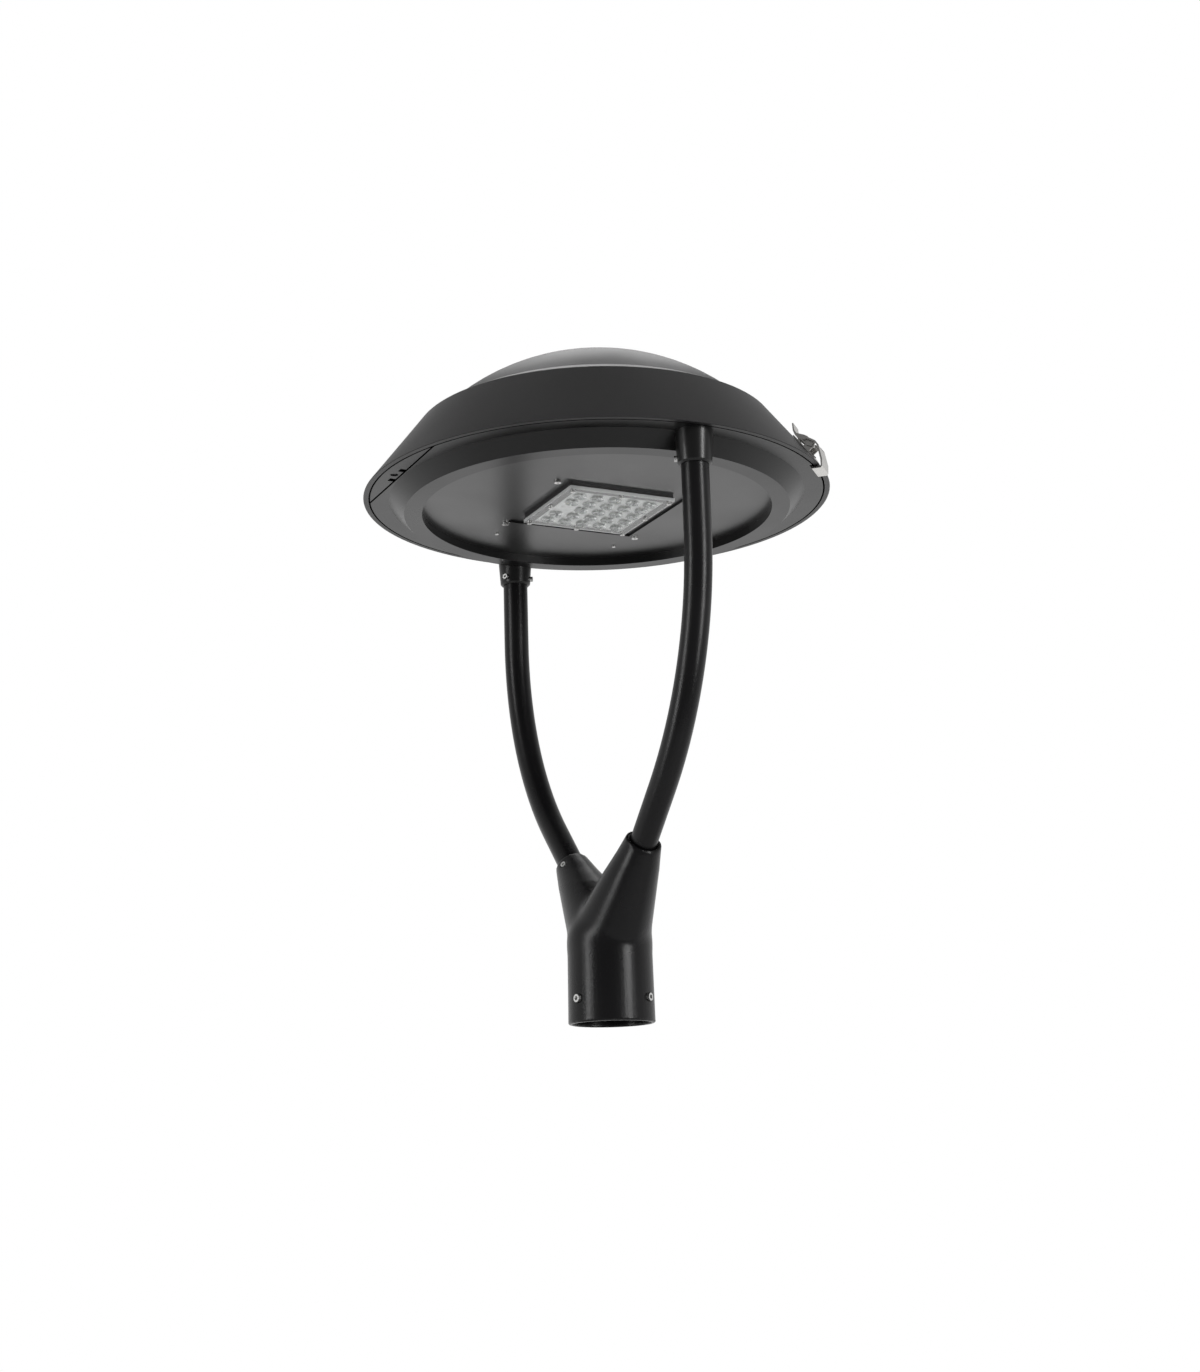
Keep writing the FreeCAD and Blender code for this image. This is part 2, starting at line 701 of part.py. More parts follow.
# Forked casting on the post: tapered collar and two branches blended over the crotch
collar = turned("collar_turned", [
    (0, 0),
    (collar_rad - collar_chamfer, 0),
    (collar_rad, collar_chamfer),
    (waist_rad, waist_level),
    (0, waist_level + waist_rad),
], {3: (0, waist_level, 1)})
fork_adds = [collar]
fork_cuts = [cylinder("post_room", post_bore, post_depth + 1, (0, 0, -1))]
for word, sign in sides:
    low_r, low_z = along_branch(mouth_run + branch_run)
    axis = Vector(0, run_r.number * sign, run_z.number)
    fork_adds.append(cone("branch_%s" % word, branch_root, mouth_rad, branch_run,
                          (0, low_r * sign, low_z), axis))
    end_r, end_z = along_branch(tube_run + 0.3)
    fork_cuts.append(cylinder("branch_bore_%s" % word, tube_rad + tube_gap, 90,
                              (0, end_r * sign, end_z), axis))
    deep_r, deep_z = along_branch(188.0)
    fork_cuts.append(cylinder("branch_way_%s" % word, passage_rad, 90,
                              (0, deep_r * sign, deep_z), axis))
    lip_r, lip_z = along_branch(mouth_run + mouth_chamfer)
    fork_cuts.append(cone("branch_flare_%s" % word, tube_rad + tube_gap,
                          tube_rad + tube_gap + mouth_chamfer * 1.2, mouth_chamfer * 1.2,
                          (0, lip_r * sign, lip_z), axis))
collar_angles = [-165, -57, 69]
screw_high = dim("screw_high", 24.0)
for number, angle in enumerate(collar_angles):
    fork_cuts.append(cylinder("collar_bore_%d" % number, set_screw + screw_gap, 60,
                              (0, 0, screw_high), way(angle)))
grub_run = dim("grub_run", 73.0)
grub_turn = dim("grub_turn", 60.0)
grub_ways = []
for word, sign in sides:
    axis = Vector(0, run_r.number * sign, run_z.number)
    across = axis.cross(Vector(-sign, 0, 0))
    inward = across if across.y * sign < 0 else -across
    aim = inward * math.cos(math.radians(grub_turn.number)) + Vector(sign * -1, 0, 0) * math.sin(
        math.radians(grub_turn.number))
    spot_r, spot_z = along_branch(grub_run)
    grub_ways.append((word, (0, spot_r * sign, spot_z), aim))
    fork_cuts.append(cylinder("grub_bore_%s" % word, grub_screw + screw_gap, 40,
                              (0, spot_r * sign, spot_z), aim))
post_collar = cut("post_collar", fuse("fork_cast", fork_adds), fork_cuts)


def headless(name, radius, length, start, axis):
    """Set screw with a hexagon socket in its outer end."""
    axis = Vector(axis)
    axis.normalize()
    shank = cylinder(name + "_shank", radius, length, start, axis)
    deep = length - radius
    seat = tuple(size(start[index]) + axis[index] * deep for index in range(3))
    return cut(name, shank, [hexagon(name + "_key", radius * 0.58, radius + 1, seat, axis)])


def panhead(name, radius, length, start, axis, head=None):
    """Pan head screw: start is the face under its head, axis points away from the shank."""
    axis = Vector(axis)
    axis.normalize()
    head = head if head else radius * 1.8
    back = tuple(size(start[index]) - axis[index] * length for index in range(3))
    shank = cylinder(name + "_shank", radius, length + 0.2, back, axis)
    cap = cylinder(name + "_cap", head, head_high, start, axis)
    deep = tuple(size(start[index]) + axis[index] * (head_high - 1.2) for index in range(3))
    return cut(name, fuse(name + "_blank", [shank, cap]),
               [hexagon(name + "_key", radius * 0.85, 2, deep, axis)])


def shift(point, axis, distance):
    return tuple(size(point[index]) + axis[index] * distance for index in range(3))


collar_set_screws = group("collar_set_screws", [
    headless("collar_screw_%d" % number, set_screw, 6.4,
             shift((0, 0, screw_high), way(angle), 40.4), way(angle))
    for number, angle in enumerate(collar_angles)])
branch_grub_screws = group("branch_grub_screws", [
    headless("grub_%s" % word, grub_screw, 7.0, shift(spot, aim, tube_rad.number + 0.1), aim)
    for word, spot, aim in grub_ways])
socket_set_screws = group("socket_set_screws", [
    headless("socket_screw_%s_%d" % (word, turn + 60), grub_screw, 6.4,
             shift((0, arm_reach * sign, rim_level - 26.5), inward, tube_rad.number + 0.1), inward)
    for word, sign, turn, inward in set_places])
grommets = []
for word, sign in sides:
    at = arm_reach * sign
    neck = cylinder("grommet_neck_%s" % word, cable_rad - 0.1, 7.0, (0, at, rim_level + pad_top - 6.5))
    brim = cylinder("grommet_brim_%s" % word, cable_rad + 3.0, 2.0, (0, at, rim_level + pad_top))
    eye = cylinder("grommet_eye_%s" % word, cable_rad - 3.0, 12, (0, at, rim_level + pad_top - 8))
    grommets.append(cut("grommet_%s" % word, fuse("grommet_blank_%s" % word, [neck, brim]), [eye]))
cable_grommets = group("cable_grommets", grommets)

# Base plate: round sheet inside the ring with a square opening for the light module
plate_level = rim_level - seat_drop
plate_top = plate_level + sheet_thick
plate_body = body("plate_blank")
profile = sketch(plate_body, "plate_outline", "XY_Plane")
ring(profile, sheet_rad)
rectangle(profile, -open_left, open_right, -open_near, open_far)
pad(plate_body, "plate_pad", profile, sheet_thick)
holes = sketch(plate_body, "plate_holes", "XY_Plane")
module_places = [(-73.0, -58.7), (-69.4, 88.0), (86.7, 83.2), (88.6, -60.0)]
driver_places = [(-63.9, 125.3), (79.1, 121.7)]
block_places = [(-52.0, -112.0), (-12.0, -112.0)]
guard_places = [(26.0, -112.0), (66.0, -112.0)]
earth_place = (-100.0, -96.0)
stud_places = block_places + guard_places + [earth_place]
for across, up in module_places:
    ring(holes, small_screw + 0.25, across, up)
for angle in boss_angles:
    there = way(angle)
    ring(holes, small_screw + 0.25, boss_circle * there.x, boss_circle * there.y)
for across, up in driver_places:
    ring(holes, small_screw + screw_gap, across, up)
pocket(plate_body, "plate_drill", holes)
put(plate_body, (0, 0, plate_level))
plate_studs = [cylinder("plate_stud_%d" % number, small_screw, 9.0, (across, up, plate_top - 0.5))
               for number, (across, up) in enumerate(stud_places)]
base_plate = fuse("base_plate", [plate_body] + plate_studs)
ring_screws = group("ring_screws", [
    panhead("ring_screw_%d" % number, small_screw, 9.0,
            (boss_circle * way(angle).x, boss_circle * way(angle).y, plate_top), Z)
    for number, angle in enumerate(boss_angles)])

# Light module: finned heat sink above the plate, pedestal through the opening, lens plate below
sink_level = plate_top + seal_thick
seal_body = body("module_gasket")
profile = sketch(seal_body, "seal_outline", "XY_Plane")
rectangle(profile, -sink_left, sink_right, -sink_near, sink_far)
rectangle(profile, -open_left, open_right, -open_near, open_far)
pad(seal_body, "seal_pad", profile, seal_thick)
holes = sketch(seal_body, "seal_holes", "XY_Plane")
for across, up in module_places:
    ring(holes, small_screw + 0.25, across, up)
pocket(seal_body, "seal_drill", holes)
put(seal_body, (0, 0, plate_top))

lens_top = rim_level - lens_drop + lens_thick
pedestal_low = lens_top + lens_seal
sink_body = body("sink_blank")
profile = sketch(sink_body, "sink_outline", "XY_Plane")
rectangle(profile, -sink_left, sink_right, -sink_near, sink_far)
pad(sink_body, "sink_base", profile, sink_thick)
profile = sketch(sink_body, "pedestal_outline", "XY_Plane")
rectangle(profile, lens_x - lens_side / 2 + 1, lens_x + lens_side / 2 - 1,
          lens_y - lens_side / 2 + 1, lens_y + lens_side / 2 - 1)
pad(sink_body, "pedestal", profile, sink_level - pedestal_low, back=True)
fins = 17
profile = sketch(sink_body, "fin_outline", "XY_Plane")
fin_start = -sink_left + 6.0
rectangle(profile, fin_start, fin_start + fin_thick, -sink_near + 2.0, sink_far - 2.0)
fin = pad(sink_body, "fin", profile, sink_thick + fin_high)
row = sink_body.newObject("PartDesign::LinearPattern", "fin_row")
row.Originals = [fin]
row.Direction = (profile, ["H_Axis"])
row.Occurrences = fins
bind(row, Length=fin_pitch * (fins - 1))
sink_body.Tip = row
put(sink_body, (0, 0, sink_level))
lead_x = lens_x - 2 * lens_pitch
sink_cuts = []
for number, (across, up) in enumerate(module_places):
    sink_cuts.append(cylinder("sink_thread_%d" % number, small_screw + screw_gap, 30,
                              (across, up, sink_level - 1)))
    sink_cuts.append(cylinder("sink_relief_%d" % number, 4.4, 60, (across, up, sink_level + sink_thick)))
lens_screw_places = []
half = lens_side.number / 2 - 4.6
for ix in (-1, 0, 1):
    for iy in (-1, 0, 1):
        if ix or iy:
            lens_screw_places.append((lens_x.number + ix * half, lens_y.number + iy * half))
lens_screw_rad = dim("lens_screw_rad", 1.25)
for number, (across, up) in enumerate(lens_screw_places):
    sink_cuts.append(cylinder("sink_lens_thread_%d" % number, lens_screw_rad + screw_gap, 7.6,
                              (across, up, pedestal_low - 1)))
sink_cuts.append(cylinder("sink_lead", 3.2, 60, (lead_x, lens_y, pedestal_low - 1)))
heat_sink = cut("heat_sink", sink_body, sink_cuts)

lens_seal_body = body("lens_gasket")
profile = sketch(lens_seal_body, "lens_seal_outline", "XY_Plane")
rectangle(profile, lens_x - lens_side / 2 + 0.6, lens_x + lens_side / 2 - 0.6,
          lens_y - lens_side / 2 + 0.6, lens_y + lens_side / 2 - 0.6)
cavity = board_side / 2 + 0.4
rectangle(profile, lens_x - cavity, lens_x + cavity, lens_y - cavity, lens_y + cavity)
pad(lens_seal_body, "lens_seal_pad", profile, lens_seal)
holes = sketch(lens_seal_body, "lens_seal_holes", "XY_Plane")
for across, up in lens_screw_places:
    ring(holes, lens_screw_rad + 0.15, across, up)
pocket(lens_seal_body, "lens_seal_drill", holes)
put(lens_seal_body, (0, 0, lens_top))

lens_places = []
for ix in range(-2, 3):
    for iy in range(-2, 3):
        if not (ix == -2 and iy == 0):
            lens_places.append((lens_x.number + ix * lens_pitch.number, lens_y.number + iy * lens_pitch.number))
lens_bulge = dim("lens_bulge", 2.6)
lens_rad = dim("lens_rad", 7.6)
lens_blank = box("lens_blank", lens_side, lens_side, lens_thick,
                 (lens_x - lens_side / 2, lens_y - lens_side / 2, lens_top - lens_thick))
ball = (lens_rad * lens_rad + lens_bulge * lens_bulge) / (2 * lens_bulge)
lens_adds = [lens_blank]
for number, (across, up) in enumerate(lens_places):
    drop = doc.addObject("Part::Sphere", "lens_%d" % number)
    bind(drop, Radius=ball)
    put(drop, (across, up, lens_top - lens_thick - lens_bulge + ball))
    lens_adds.append(common("lens_cap_%d" % number, drop,
                            cylinder("lens_zone_%d" % number, lens_rad + 0.3, lens_bulge + 0.5,
                                     (across, up, lens_top - lens_thick - lens_bulge))))
cavity_side = board_side + 0.8
lens_cuts = [box("lens_cavity", cavity_side, cavity_side, 2.2,
                 (lens_x - cavity_side / 2, lens_y - cavity_side / 2, lens_top - 1.7))]
for number, (across, up) in enumerate(lens_screw_places):
    lens_cuts.append(cylinder("lens_bore_%d" % number, lens_screw_rad + 0.15, 9,
                              (across, up, lens_top - lens_thick - 2)))
lens_plate = cut("lens_plate", fuse("lens_moulded", lens_adds), lens_cuts)
lens_screws = group("lens_screws", [
    panhead("lens_screw_%d" % number, lens_screw_rad, 11.0, (across, up, lens_top - lens_thick), -Z, 2.6)
    for number, (across, up) in enumerate(lens_screw_places)])
board_body = body("led_board")
profile = sketch(board_body, "board_outline", "XY_Plane")
rectangle(profile, lens_x - board_side / 2, lens_x + board_side / 2,
          lens_y - board_side / 2, lens_y + board_side / 2)
pad(board_body, "board_pad", profile, board_thick)
lead = sketch(board_body, "board_lead", "XY_Plane")
ring(lead, 2.4, lead_x, lens_y)
pocket(board_body, "board_drill", lead)
board_level = pedestal_low - board_thick
put(board_body, (0, 0, board_level))
led_chips = group("led_chips", [
    box("led_chip_%d" % number, 3.5, 3.5, 0.7, (across - 1.75, up - 1.75, board_level - 0.7))
    for number, (across, up) in enumerate(lens_places)])
module_screws = group("module_screws", [
    panhead("module_screw_%d" % number, small_screw, 10.5, (across, up, plate_level), -Z)
    for number, (across, up) in enumerate(module_places)])

# Driver, terminal block and surge protector on the base plate
driver_y = 123.5
driver_case = box("driver_case", 131, 52, 30, (7.6 - 65.5, driver_y - 26, plate_top))
driver_tabs = box("driver_tabs", 158, 22, 2.5, (7.6 - 79, driver_y - 11, plate_top))
driver_cuts = []
for number, (across, up) in enumerate(driver_places):
    driver_cuts.append(cylinder("driver_hole_%d" % number, small_screw + 0.2, 8,
                                (across, up, plate_top - 2)))
driver = cut("driver", fuse("driver_blank", [driver_case, driver_tabs]), driver_cuts)


def studded_box(name, places, width, height, low):
    """Small case standing on the plate with a foot at each stud."""
    middle = (places[0][0] + places[1][0]) / 2
    span = places[1][0] - places[0][0]
    case = box(name + "_case", span - 10, width, height, (middle - (span - 10) / 2, places[0][1] - width / 2, low))
    foot = box(name + "_foot", span + 9, 10, 2.5, (middle - (span + 9) / 2, places[0][1] - 5, low))
    cuts = [cylinder(name + "_hole_%d" % number, small_screw + 0.2, 8, (across, up, low - 2))
            for number, (across, up) in enumerate(places)]
    return case, foot, cuts


case, foot, cuts = studded_box("terminal", block_places, 22.0, 19.0, plate_top)
for step in range(3):
    cuts.append(cylinder("terminal_entry_%d" % step, 2.6, 9,
                         (-41.0 + 9.0 * step, block_places[0][1] - 13.0, plate_top + 8.0), Y))
    cuts.append(cylinder("terminal_well_%d" % step, 2.4, 8,
                         (-41.0 + 9.0 * step, block_places[0][1] - 3.0, plate_top + 14.0)))
terminal_block = cut("terminal_block", fuse("terminal_blank", [case, foot]), cuts)
case, foot, cuts = studded_box("guard", guard_places, 26.0, 24.0, plate_top)
surge_protector = cut("surge_protector", fuse("guard_blank", [case, foot]), cuts)
driver_screws = group("driver_screws", [
    panhead("driver_screw_%d" % number, small_screw, 6.0, (across, up, plate_top + 2.5), Z)
    for number, (across, up) in enumerate(driver_places)])


def nut(name, point):
    """Hexagon nut on a stud of the plate."""
    blank = hexagon(name + "_blank", small_screw * 1.9, 3.0, point)
    return cut(name, blank, [cylinder(name + "_bore", small_screw + 0.06, 5, shift(point, Z, -1))])


stud_nuts = group("stud_nuts", [
    nut("stud_nut_%d" % number, (across, up, plate_top + 2.5))
    for number, (across, up) in enumerate(block_places + guard_places)])
earth_nut = nut("earth_nut", (earth_place[0], earth_place[1], plate_top))


# Latch pieces are drawn in the plane of the skirt and padded along the rim
def latch_piece(name, corners, half, holes=()):
    owner = body(name)
    profile = sketch(owner, name + "_profile", "XY_Plane")
    outline(profile, corners)
    for across, up, radius in holes:
        ring(profile, radius, across, up)
    pad(owner, name + "_pad", profile, 2 * half, both=True)
    put(owner, latch_origin, latch_turn)
    return owner


def latch_rod(name, radius, half, up, out):
    return cylinder(name, radius, 2 * half, in_latch(up, out, -half), latch_w)


def latch_box(name, up, out, along, length, height, width):
    """Box by its low corner in the skirt frame: length up the skirt, height out of it."""
    return box(name, length, height, width, in_latch(up, out, along), latch_turn)


ear_half = dim("ear_half", 9.0)
lever_half = dim("lever_half", 10.6)
pin_rad = dim("pin_rad", 1.5)
base_block = latch_piece("latch_base_block", [
    (12, 0.05), (47, 0.05), (47, latch_plate), (30.4, latch_plate), (30.2, 8.5), (28.4, 11.6),
    (23.6, 11.6), (21.8, 8.5), (21.6, latch_plate), (12, latch_plate)], ear_half,
    [(lever_pivot_up, lever_pivot_out, pin_rad + running_fit)])
base_gap = latch_box("latch_base_gap", 15, latch_plate + 0.05, -(ear_half - latch_plate), 30, 20,
                     2 * (ear_half - latch_plate))
base_bores = [cylinder("base_bore_%d" % number, rivet_rad + screw_gap, 6, in_latch(up, -3, along), latch_n)
              for number, (up, along) in enumerate(rivet_places)]
latch_base = cut("latch_base", base_block, [base_gap] + base_bores)
lever_block = latch_piece("lever_block", [
    (23.2, 6.2), (27.8, 3.6), (38.0, 3.0), (45.6, 2.2), (50.4, 3.6), (57.2, 8.2), (56.6, 9.4),
    (49.8, 5.2), (45.6, 4.6), (38.4, 9.0), (34.4, 10.6), (24.6, 10.6)], lever_half,
    [(lever_pivot_up, lever_pivot_out, pin_rad + running_fit)])
lever_gap = latch_piece("lever_gap", [
    (18, -2), (44.6, -2), (44.6, 3.4), (38.0, 7.6), (34.0, 9.4), (18, 9.4)], lever_half - latch_plate)
lever_slot = latch_box("lever_slot", 18, 8, -(lever_half - latch_plate), 14.6, 6,
                       2 * (lever_half - latch_plate))
hook_rod = latch_rod("lever_rod", pin_rad, latch_half, hook_pivot_up, hook_pivot_out)
latch_lever = fuse("latch_lever", [cut("lever_pressed", lever_block, [lever_gap, lever_slot]), hook_rod])
lever_rod = latch_rod("latch_pin_rod", pin_rad, lever_half + 0.1, lever_pivot_up, lever_pivot_out)
latch_pin = group("latch_pin", [lever_rod])


def rim_corner(radius, level):
    """Point of the latch plane given by radius and level, as up and out."""
    across = radius - hood_rad.number
    up = level - lip_round.number
    return (-skirt_in * across + skirt_up * up, skirt_up * across + skirt_in * up)


rim = hood_rad.number
strap = latch_piece("hook_strap", [
    (hook_pivot_up - 1.0, hook_pivot_out + 2.3), (23.6, 13.2), (18.0, 12.8), (3.4, 5.6),
    rim_corner(rim + 2.0, -1.4), rim_corner(rim + 0.4, -3.0), rim_corner(rim - 9.0, -3.0),
    rim_corner(rim - 9.0, -0.8), rim_corner(rim - 7.6, -0.8), rim_corner(rim - 7.6, -1.4),
    rim_corner(rim + 0.2, -1.4), rim_corner(rim + 0.6, 0.4),
    (4.2, 3.9), (18.4, 11.1), (23.2, 11.5), (hook_pivot_up - 2.0, hook_pivot_out + 0.4)], latch_half)
strap_gap = latch_box("strap_gap", 16.6, -2, -(latch_half - 2.8), 30, 22, 2 * (latch_half - 2.8))
eyes = []
for word, low in (("low", -14.0), ("high", 11.2)):
    eyes.append(cylinder("strap_eye_%s" % word, 2.5, 2.8, in_latch(hook_pivot_up, hook_pivot_out, low), latch_w))
strap_bore = latch_rod("strap_bore", pin_rad + running_fit, latch_half + 1, hook_pivot_up, hook_pivot_out)
latch_hook = cut("latch_hook", fuse("hook_bent", [cut("hook_open", strap, [strap_gap])] + eyes), [strap_bore])

nodes = {
    "hood_shell": hood_shell, "segment_nuts": segment_nuts, "latch_rivets": latch_rivets,
    "tray_ring": tray_ring, "hinge_pin": hinge_pin, "hinge_segment": hinge_segment,
    "arm_tube_near": tubes[0], "arm_tube_far": tubes[1], "post_collar": post_collar,
    "collar_set_screws": collar_set_screws, "branch_grub_screws": branch_grub_screws,
    "socket_set_screws": socket_set_screws, "cable_grommets": cable_grommets,
    "base_plate": base_plate, "ring_screws": ring_screws, "module_gasket": seal_body,
    "heat_sink": heat_sink, "lens_gasket": lens_seal_body, "lens_plate": lens_plate,
    "lens_screws": lens_screws, "led_board": board_body, "led_chips": led_chips,
    "module_screws": module_screws, "driver": driver, "terminal_block": terminal_block,
    "surge_protector": surge_protector, "driver_screws": driver_screws, "stud_nuts": stud_nuts, "earth_nut": earth_nut,
    "latch_base": latch_base, "latch_lever": latch_lever, "latch_pin": latch_pin,
    "latch_hook": latch_hook,
}
doc.recompute()
problems = []
for item in doc.Objects:
    if "Invalid" in item.State or "Error" in item.State:
        problems.append(item.Name + " " + " ".join(item.State))
for name, item in nodes.items():
    item.Label = name
    shape = item.Shape
    if shape.isNull() or not shape.isValid() or not shape.Solids:
        problems.append(name + " has no valid solid")
if problems:
    raise RuntimeError("; ".join(problems))
for name, item in nodes.items():
    item.Shape.exportStep("parts/" + name + ".step")
    print(name, len(item.Shape.Solids), len(item.Shape.Faces), round(item.Shape.Volume))
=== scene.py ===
import math

import bmesh
import bpy
from mathutils import Matrix, Vector


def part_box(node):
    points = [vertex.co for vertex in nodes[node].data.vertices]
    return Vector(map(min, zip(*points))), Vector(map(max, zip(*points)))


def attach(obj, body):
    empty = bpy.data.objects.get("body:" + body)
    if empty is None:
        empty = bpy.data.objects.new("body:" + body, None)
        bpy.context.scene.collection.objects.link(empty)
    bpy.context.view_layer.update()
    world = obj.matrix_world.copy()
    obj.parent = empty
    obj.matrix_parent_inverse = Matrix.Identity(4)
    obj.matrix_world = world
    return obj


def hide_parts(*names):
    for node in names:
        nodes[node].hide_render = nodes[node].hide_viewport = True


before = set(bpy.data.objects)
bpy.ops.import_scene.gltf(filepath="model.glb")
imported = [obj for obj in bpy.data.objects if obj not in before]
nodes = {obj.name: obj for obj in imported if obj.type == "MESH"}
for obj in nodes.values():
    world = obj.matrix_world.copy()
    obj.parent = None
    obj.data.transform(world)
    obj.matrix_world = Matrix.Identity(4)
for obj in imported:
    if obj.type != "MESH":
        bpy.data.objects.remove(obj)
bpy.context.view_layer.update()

# Lengths are in metres unless said
RIM = 0.5586                          # level of the tray's rim
TURN = math.radians(-26.0)            # the camera stands this far round from the near tube
CRISP_ANGLE = 28                      # degrees; edges sharper than this stay crisp
SKIN = 0.0013                         # cell of the casting's even skin
FORK_LOW, FORK_HIGH = 0.070, 0.168    # levels between which that skin is evened out
FORK_RISE, FORK_FALL = 0.022, 0.02    # over which the evening sets in and dies away
FORK_ROUNDS = 220
FORK_GROWTH = 0.0016                  # gives back what the evening takes off
LENS_PITCH = 0.0206
LENSES_OUT = range(-2, 3)             # five by five lenses, counted from the middle one
NO_LENS = (-2, 0)                     # the photograph shows a bare place here
LOBE_SHIFT = 0.0026                   # from a lens's middle to the middle of each lobe
LOBE_LEVEL = 0.0026                   # above the lens plate's underside
LOBE_HALF_SIZES = (0.0044, 0.0052, 0.0038)
CAMERA_BACK = 2.1909                  # from the lamp's upright axis
CAMERA_BELOW = 0.7433                 # below the rim
CAMERA_LENS = 56.17                   # millimetres, on a sensor 36 wide
PITCH, ROLL, PAN = math.radians(13.793), math.radians(-1.657), math.radians(-0.06)
FLOOR_LEVEL, FLOOR_RADIUS = -0.95, 1.5
SOFT_LIGHT = 0.35                     # strength of the world on diffuse surfaces


# Materials: each gets colour, roughness and bump from its own nodes
def material(name):
    """New node material; returns it with its tree and its shader."""
    mat = bpy.data.materials.new(name)
    mat.use_nodes = True
    tree = mat.node_tree
    tree.nodes.clear()
    out = tree.nodes.new("ShaderNodeOutputMaterial")
    shader = tree.nodes.new("ShaderNodeBsdfPrincipled")
    tree.links.new(shader.outputs["BSDF"], out.inputs["Surface"])
    return mat, tree, shader


def noise(tree, scale, detail=3.0, stretch=(1, 1, 1)):
    coord = tree.nodes.new("ShaderNodeTexCoord")
    mapping = tree.nodes.new("ShaderNodeMapping")
    mapping.inputs["Scale"].default_value = stretch
    tree.links.new(coord.outputs["Object"], mapping.inputs["Vector"])
    tex = tree.nodes.new("ShaderNodeTexNoise")
    tex.inputs["Scale"].default_value = scale
    tex.inputs["Detail"].default_value = detail
    tree.links.new(mapping.outputs["Vector"], tex.inputs["Vector"])
    return tex


def ramp(tree, source, low, high, start=0.3, end=0.7):
    node = tree.nodes.new("ShaderNodeValToRGB")
    node.color_ramp.elements[0].position = start
    node.color_ramp.elements[1].position = end
    node.color_ramp.elements[0].color = (*low, 1)
    node.color_ramp.elements[1].color = (*high, 1)
    tree.links.new(source, node.inputs["Fac"])
    return node


def remap(tree, source, low, high, start=0.3, end=0.7):
    node = tree.nodes.new("ShaderNodeMapRange")
    node.inputs["From Min"].default_value = start
    node.inputs["From Max"].default_value = end
    node.inputs["To Min"].default_value = low
    node.inputs["To Max"].default_value = high
    tree.links.new(source, node.inputs["Value"])
    return node


def combine(tree, operation, *sources):
    """Output of a new math node that is fed by these sockets."""
    node = tree.nodes.new("ShaderNodeMath")
    node.operation = operation
    for number, source in enumerate(sources):
        tree.links.new(source, node.inputs[number])
    return node.outputs[0]


def bumps(tree, shader, layers):
    """Chain of bump nodes; each layer is (height socket, strength, distance in metres)."""
    last = None
    for height, strength, distance in layers:
        node = tree.nodes.new("ShaderNodeBump")
        node.inputs["Strength"].default_value = strength
        node.inputs["Distance"].default_value = distance
        tree.links.new(height, node.inputs["Height"])
        if last:
            tree.links.new(last.outputs["Normal"], node.inputs["Normal"])
        last = node
    tree.links.new(last.outputs["Normal"], shader.inputs["Normal"])


def mottle(tree, shader, source, dark, light, smooth, rough):
    """Colour and roughness that wander with one noise."""
    tint = ramp(tree, source, dark, light)
    tree.links.new(tint.outputs["Color"], shader.inputs["Base Color"])
    spread = remap(tree, source, smooth, rough)
    tree.links.new(spread.outputs["Result"], shader.inputs["Roughness"])


def coat(name, dark, light, rough, peel, strength, level):
    """Powder coat: nearly even colour, soft gloss that wanders a little, fine orange peel."""
    mat, tree, shader = material(name)
    cloud = noise(tree, 9, 4)
    mottle(tree, shader, cloud.outputs["Fac"], dark, light, rough - 0.03, rough + 0.04)
    shader.inputs["Specular IOR Level"].default_value = level
    fine = noise(tree, peel, 2)
    wave = noise(tree, peel * 0.22, 2)
    bumps(tree, shader, [(fine.outputs["Fac"], strength, 0.0002),
                         (wave.outputs["Fac"], strength * 0.4, 0.0004)])
    return mat


def metal(name, dark, light, rough):
    """Bare metal with a grain that is drawn out level."""
    mat, tree, shader = material(name)
    grain = noise(tree, 500, 3, (1, 1, 14))
    mottle(tree, shader, grain.outputs["Fac"], dark, light, rough - 0.06, rough + 0.1)
    shader.inputs["Metallic"].default_value = 1.0
    bumps(tree, shader, [(grain.outputs["Fac"], 0.15, 0.0001)])
    return mat


def plain(name, dark, light, rough):
    mat, tree, shader = material(name)
    grain = noise(tree, 180, 4)
    mottle(tree, shader, grain.outputs["Fac"], dark, light, rough - 0.05, rough + 0.08)
    bumps(tree, shader, [(grain.outputs["Fac"], 0.2, 0.0002)])
    return mat


hood_coat = coat("hood_coat", (0.0075, 0.0072, 0.0075), (0.0105, 0.0101, 0.0105), 0.4, 1500, 0.12, 0.35)
tray_coat = coat("tray_coat", (0.003, 0.003, 0.003), (0.005, 0.005, 0.005), 0.3, 1600, 0.1, 0.3)
plate_coat = coat("plate_coat", (0.006, 0.006, 0.006), (0.008, 0.008, 0.008), 0.33, 1600, 0.1, 0.6)
arm_coat = coat("arm_coat", (0.0026, 0.0025, 0.0028), (0.0042, 0.004, 0.0044), 0.28, 1100, 0.6, 0.2)
steel = metal("stainless", (0.5, 0.5, 0.49), (0.68, 0.68, 0.67), 0.28)
latch_steel = metal("latch_steel", (0.5, 0.49, 0.47), (0.68, 0.67, 0.65), 0.26)
brass = metal("brass_screw", (0.62, 0.45, 0.18), (0.78, 0.6, 0.28), 0.3)
case_metal = metal("driver_case", (0.55, 0.55, 0.55), (0.7, 0.7, 0.7), 0.35)
# Black rubber is the grommets' own colour. On the module and lens gaskets its black is also painted shade
# for the gaps around the plate's opening and the lens plate
rubber_and_gap_shade = plain("seal_rubber", (0.006, 0.006, 0.006), (0.012, 0.012, 0.012), 0.7)
board_white = plain("board_white", (0.8, 0.8, 0.79), (0.86, 0.86, 0.85), 0.4)
chip_yellow = plain("chip_yellow", (0.8, 0.66, 0.2), (0.9, 0.78, 0.3), 0.35)
block_plastic = plain("block_plastic", (0.62, 0.6, 0.54), (0.7, 0.68, 0.62), 0.45)
